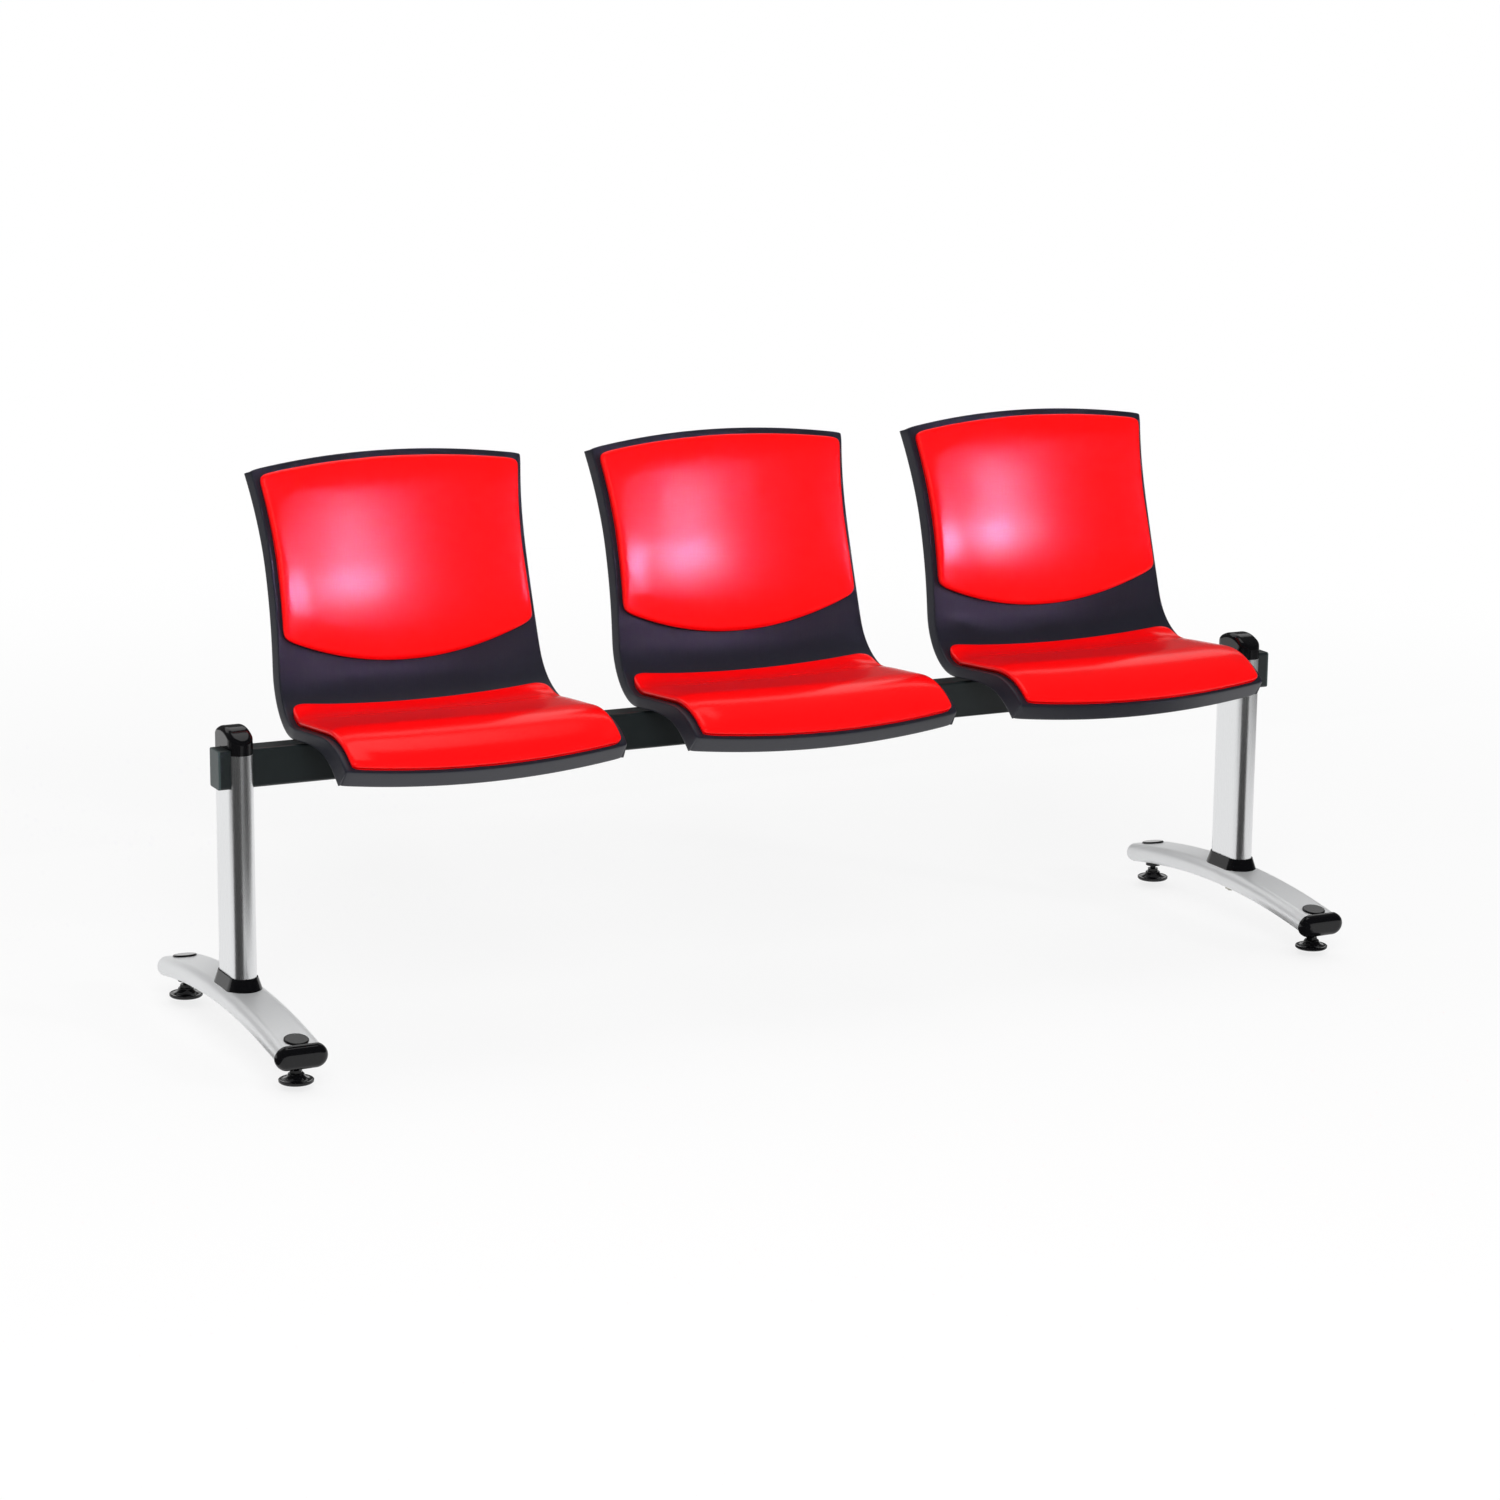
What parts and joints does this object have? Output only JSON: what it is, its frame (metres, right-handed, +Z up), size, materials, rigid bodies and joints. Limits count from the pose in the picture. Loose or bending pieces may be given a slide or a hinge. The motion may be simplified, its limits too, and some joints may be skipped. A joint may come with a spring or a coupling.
{
  "type": "waiting bench",
  "caption": "Beam bench for a waiting room: padded moulded seats on a rectangular beam, carried by flat-oval uprights on arched feet with screw levellers.",
  "frame": {"origin": "on the floor, midway between the two legs and midway along the feet", "axes": "+X along the bench to the sitter's left, +Y towards the backs, +Z up"},
  "size_m": [1.872, 0.5736, 0.8607],
  "materials": {
    "beam_paint": "powder coat",
    "plug_plastic": "satin",
    "chrome": "polished",
    "gloss_black": "gloss",
    "black_steel": "black oxide",
    "zinc_steel": "zinc plated",
    "shell_plastic": "satin",
    "pad_vinyl": "grained vinyl",
    "pad_board": "hardboard",
    "bracket_paint": "powder coat"
  },
  "bodies": {
    "bench": {"beam": "beam_paint", "beam_end_plug_left": "plug_plastic", "beam_end_plug_right": "plug_plastic", "foot_left": "chrome", "upright_left": "chrome", "foot_rear_cap_left": "chrome", "foot_front_cap_left": "gloss_black", "upright_cap_left": "gloss_black", "collar_left": "gloss_black", "leveller_cover_front_left": "gloss_black", "leveller_socket_front_left": "black_steel", "leveller_cover_rear_left": "gloss_black", "leveller_socket_rear_left": "black_steel", "foot_right": "chrome", "upright_right": "chrome", "foot_rear_cap_right": "chrome", "foot_front_cap_right": "gloss_black", "upright_cap_right": "gloss_black", "collar_right": "gloss_black", "leveller_cover_front_right": "gloss_black", "leveller_socket_front_right": "black_steel", "leveller_cover_rear_right": "gloss_black", "leveller_socket_rear_right": "black_steel", "beam_saddles": "zinc_steel", "beam_bolts": "zinc_steel", "tie_rods": "zinc_steel", "tie_rod_washers": "zinc_steel", "tie_rod_nuts": "zinc_steel", "clamp_bolts": "zinc_steel", "clamp_nuts": "zinc_steel", "shell_screws": "zinc_steel", "pad_screws": "zinc_steel", "seat_shell_1": "shell_plastic", "back_pad_1": "pad_vinyl", "seat_pad_1": "pad_vinyl", "back_pad_board_1": "pad_board", "seat_pad_board_1": "pad_board", "seat_bracket_1": "bracket_paint", "seat_shell_2": "shell_plastic", "back_pad_2": "pad_vinyl", "seat_pad_2": "pad_vinyl", "back_pad_board_2": "pad_board", "seat_pad_board_2": "pad_board", "seat_bracket_2": "bracket_paint", "seat_shell_3": "shell_plastic", "back_pad_3": "pad_vinyl", "seat_pad_3": "pad_vinyl", "back_pad_board_3": "pad_board", "seat_pad_board_3": "pad_board", "seat_bracket_3": "bracket_paint", "beam_clamps": "bracket_paint"},
    "glide_front_left": {"leveller_glide_front_left": "gloss_black"},
    "stem_front_left": {"leveller_stem_front_left": "black_steel"},
    "glide_front_right": {"leveller_glide_front_right": "gloss_black"},
    "stem_front_right": {"leveller_stem_front_right": "black_steel"},
    "glide_rear_left": {"leveller_glide_rear_left": "gloss_black"},
    "stem_rear_left": {"leveller_stem_rear_left": "black_steel"},
    "glide_rear_right": {"leveller_glide_rear_right": "gloss_black"},
    "stem_rear_right": {"leveller_stem_rear_right": "black_steel"}
  },
  "joints": [
    {"name": "level_front_left", "type": "slide", "parent": "bench", "child": "glide_front_left", "axis": [0, 0, 1], "range_m": [-0.012, 0.005]},
    {"name": "screw_front_left", "type": "hinge", "parent": "glide_front_left", "child": "stem_front_left", "pos_m": [-0.895, -0.25, 0.03], "axis": [0, 0, 1], "continuous": true},
    {"name": "level_front_right", "type": "slide", "parent": "bench", "child": "glide_front_right", "axis": [0, 0, 1], "range_m": [-0.012, 0.005]},
    {"name": "screw_front_right", "type": "hinge", "parent": "glide_front_right", "child": "stem_front_right", "pos_m": [0.895, -0.25, 0.03], "axis": [0, 0, 1], "continuous": true},
    {"name": "level_rear_left", "type": "slide", "parent": "bench", "child": "glide_rear_left", "axis": [0, 0, 1], "range_m": [-0.012, 0.005]},
    {"name": "screw_rear_left", "type": "hinge", "parent": "glide_rear_left", "child": "stem_rear_left", "pos_m": [-0.895, 0.25, 0.03], "axis": [0, 0, 1], "continuous": true},
    {"name": "level_rear_right", "type": "slide", "parent": "bench", "child": "glide_rear_right", "axis": [0, 0, 1], "range_m": [-0.012, 0.005]},
    {"name": "screw_rear_right", "type": "hinge", "parent": "glide_rear_right", "child": "stem_rear_right", "pos_m": [0.895, 0.25, 0.03], "axis": [0, 0, 1], "continuous": true}
  ],
  "couplings": [
    {"joint": "screw_front_left", "follows": "level_front_left", "rad_per_m": 4188.8},
    {"joint": "screw_front_right", "follows": "level_front_right", "rad_per_m": 4188.8},
    {"joint": "screw_rear_left", "follows": "level_rear_left", "rad_per_m": 4188.8},
    {"joint": "screw_rear_right", "follows": "level_rear_right", "rad_per_m": 4188.8}
  ]
}
